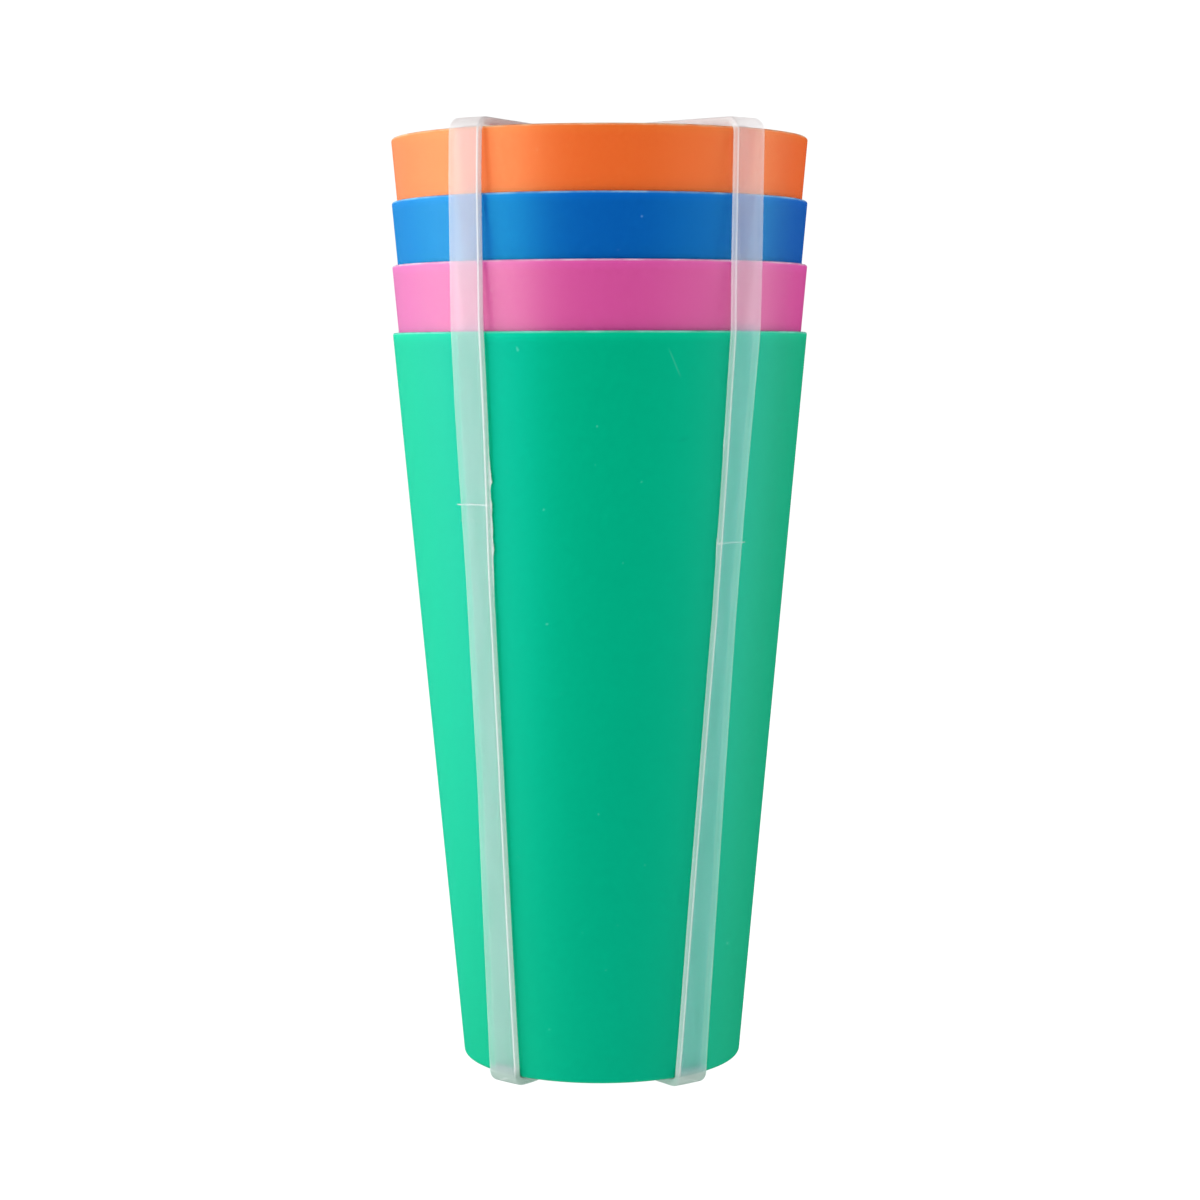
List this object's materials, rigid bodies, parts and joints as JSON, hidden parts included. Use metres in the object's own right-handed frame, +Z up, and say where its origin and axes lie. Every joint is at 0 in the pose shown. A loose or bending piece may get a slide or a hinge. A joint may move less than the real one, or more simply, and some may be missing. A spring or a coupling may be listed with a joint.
{
  "type": "nested drinking tumblers with elastic bands",
  "caption": "Tapered plastic drinking tumblers in different colours, nested in one another and held together by crossed elastic bands.",
  "frame": {"origin": "middle of the underside, on the surface that the stack stands on, on the cups' common axis", "axes": "+Z up along the cups' axis, -Y towards the front, where both bands are seen, +X to the right"},
  "size_m": [0.0855, 0.0854, 0.1946],
  "materials": {
    "green_plastic": "satin moulded plastic with a fine grain",
    "pink_plastic": "satin moulded plastic with a fine grain",
    "blue_plastic": "satin moulded plastic with a fine grain",
    "orange_plastic": "satin moulded plastic with a fine grain",
    "milky_silicone": "milky translucent silicone, smooth and slightly waxy"
  },
  "bodies": {
    "cup_green": {"cup_green": "green_plastic"},
    "cup_pink": {"cup_pink": "pink_plastic"},
    "cup_blue": {"cup_blue": "blue_plastic"},
    "cup_orange": {"cup_orange": "orange_plastic"},
    "band_left": {"band_left": "milky_silicone"},
    "band_right": {"band_right": "milky_silicone"}
  },
  "joints": [
    {"name": "pink_lift", "type": "slide", "parent": "cup_green", "child": "cup_pink", "axis": [0, 0, 1], "range_m": [0, 0.19]},
    {"name": "blue_lift", "type": "slide", "parent": "cup_pink", "child": "cup_blue", "axis": [0, 0, 1], "range_m": [0, 0.19]},
    {"name": "orange_lift", "type": "slide", "parent": "cup_blue", "child": "cup_orange", "axis": [0, 0, 1], "range_m": [0, 0.19]},
    {"name": "band_left_off", "type": "slide", "parent": "cup_green", "child": "band_left", "axis": [0.766, -0.6428, 0], "range_m": [0, 0.06], "deforming": ["band_left"]},
    {"name": "band_right_off", "type": "slide", "parent": "cup_green", "child": "band_right", "axis": [-0.766, -0.6428, 0], "range_m": [0, 0.06], "deforming": ["band_right"]}
  ]
}
